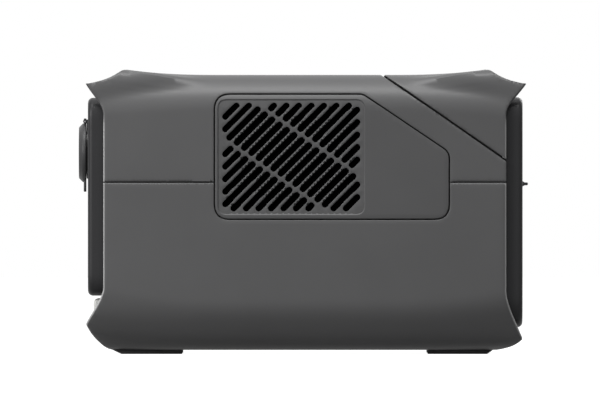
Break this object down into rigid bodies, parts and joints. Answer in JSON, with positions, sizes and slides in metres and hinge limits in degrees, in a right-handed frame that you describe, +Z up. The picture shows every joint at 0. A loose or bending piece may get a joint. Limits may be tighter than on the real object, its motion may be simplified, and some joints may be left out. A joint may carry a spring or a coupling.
{
  "type": "portable power station",
  "caption": "Boxy grey portable power station with flared ends, carry handle, side fan grilles, outlet panel and hinged socket lid.",
  "frame": {"origin": "bottom centre of the bounding box, on the plane that the feet stand on", "axes": "+X from the outlet end (front) to the charging end (rear), +Y to the left side, +Z up"},
  "size_m": [0.3092, 0.205, 0.1956],
  "materials": {
    "case_plastic": "fine-textured grey moulding",
    "panel_plastic": "dark grey, satin",
    "black_plastic": "black, satin",
    "button_plastic": "grey, satin",
    "lamp_plastic": "milky white diffuser",
    "dark_window": "smoked, glossy",
    "foot_rubber": "black, matte",
    "cover_rubber": "black, matte",
    "aluminium_sheet": "plain, satin",
    "cell_can": "brushed can",
    "steel": "zinc plated",
    "circuit_board": "green solder mask",
    "red_cable": "red sleeve",
    "black_cable": "black sleeve"
  },
  "bodies": {
    "station": {"upper_case": "case_plastic", "lower_case": "case_plastic", "carry_handle": "case_plastic", "handle_well": "panel_plastic", "side_panel_right": "case_plastic", "side_panel_left": "case_plastic", "front_panel": "panel_plastic", "rear_panel": "panel_plastic", "rating_plate": "aluminium_sheet", "foot_front_right": "foot_rubber", "foot_front_left": "foot_rubber", "foot_rear_right": "foot_rubber", "foot_rear_left": "foot_rubber", "car_socket": "black_plastic", "car_socket_liner": "steel", "lid_hinge_pin": "steel", "ac_outlet_1": "black_plastic", "ac_outlet_2": "black_plastic", "display_window": "dark_window", "display_module": "black_plastic", "usb_ports": "black_plastic", "front_board": "circuit_board", "lamp_bar": "lamp_plastic", "cover_hinge_strip": "cover_rubber", "ac_inlet": "black_plastic", "dc_inlet": "black_plastic", "battery_cell_1": "cell_can", "battery_cell_2": "cell_can", "battery_cell_3": "cell_can", "battery_cell_4": "cell_can", "battery_cell_5": "cell_can", "battery_cell_6": "cell_can", "battery_cell_7": "cell_can", "battery_cell_8": "cell_can", "cell_tray": "black_plastic", "battery_cover": "black_plastic", "bms_board": "circuit_board", "inverter_board": "circuit_board", "heat_sink_1": "aluminium_sheet", "heat_sink_2": "aluminium_sheet", "transformer": "black_plastic", "capacitor": "black_plastic", "charge_board": "circuit_board", "fan_frame_right": "black_plastic", "fan_frame_left": "black_plastic", "battery_cable_positive": "red_cable", "battery_cable_negative": "black_cable", "outlet_cable": "black_cable", "case_screw_1": "steel", "case_screw_2": "steel", "case_screw_3": "steel", "case_screw_4": "steel"},
    "socket_lid": {"car_socket_lid": "panel_plastic"},
    "power_key": {"power_button": "button_plastic"},
    "ac_key": {"ac_button": "button_plastic"},
    "dc_key": {"dc_button": "button_plastic"},
    "lamp_key": {"lamp_button": "button_plastic"},
    "inlet_flap": {"input_cover": "cover_rubber"},
    "rotor_right": {"fan_rotor_right": "black_plastic"},
    "rotor_left": {"fan_rotor_left": "black_plastic"}
  },
  "joints": [
    {"name": "socket_lid_hinge", "type": "hinge", "parent": "station", "child": "socket_lid", "pos_m": [-0.1504, -0.066, 0.1598], "axis": [0, 1, 0], "range_deg": [0, 100], "stiffness_Nm_per_rad": 0.01, "springref_deg": -28.65},
    {"name": "power_press", "type": "slide", "parent": "station", "child": "power_key", "axis": [1, 0, 0], "range_m": [0, 0.0012], "stiffness_N_per_m": 300},
    {"name": "ac_press", "type": "slide", "parent": "station", "child": "ac_key", "axis": [1, 0, 0], "range_m": [0, 0.0012], "stiffness_N_per_m": 300},
    {"name": "dc_press", "type": "slide", "parent": "station", "child": "dc_key", "axis": [1, 0, 0], "range_m": [0, 0.0012], "stiffness_N_per_m": 300},
    {"name": "lamp_press", "type": "slide", "parent": "station", "child": "lamp_key", "axis": [1, 0, 0], "range_m": [0, 0.0012], "stiffness_N_per_m": 300},
    {"name": "inlet_flap_hinge", "type": "hinge", "parent": "station", "child": "inlet_flap", "pos_m": [0.14985, 0, 0.07575], "axis": [0, 1, 0], "range_deg": [0, 110]},
    {"name": "fan_spin_right", "type": "hinge", "parent": "station", "child": "rotor_right", "pos_m": [-0.0087, -0.083, 0.1355], "axis": [0, 1, 0], "continuous": true},
    {"name": "fan_spin_left", "type": "hinge", "parent": "station", "child": "rotor_left", "pos_m": [-0.0087, 0.083, 0.1355], "axis": [0, 1, 0], "continuous": true}
  ]
}
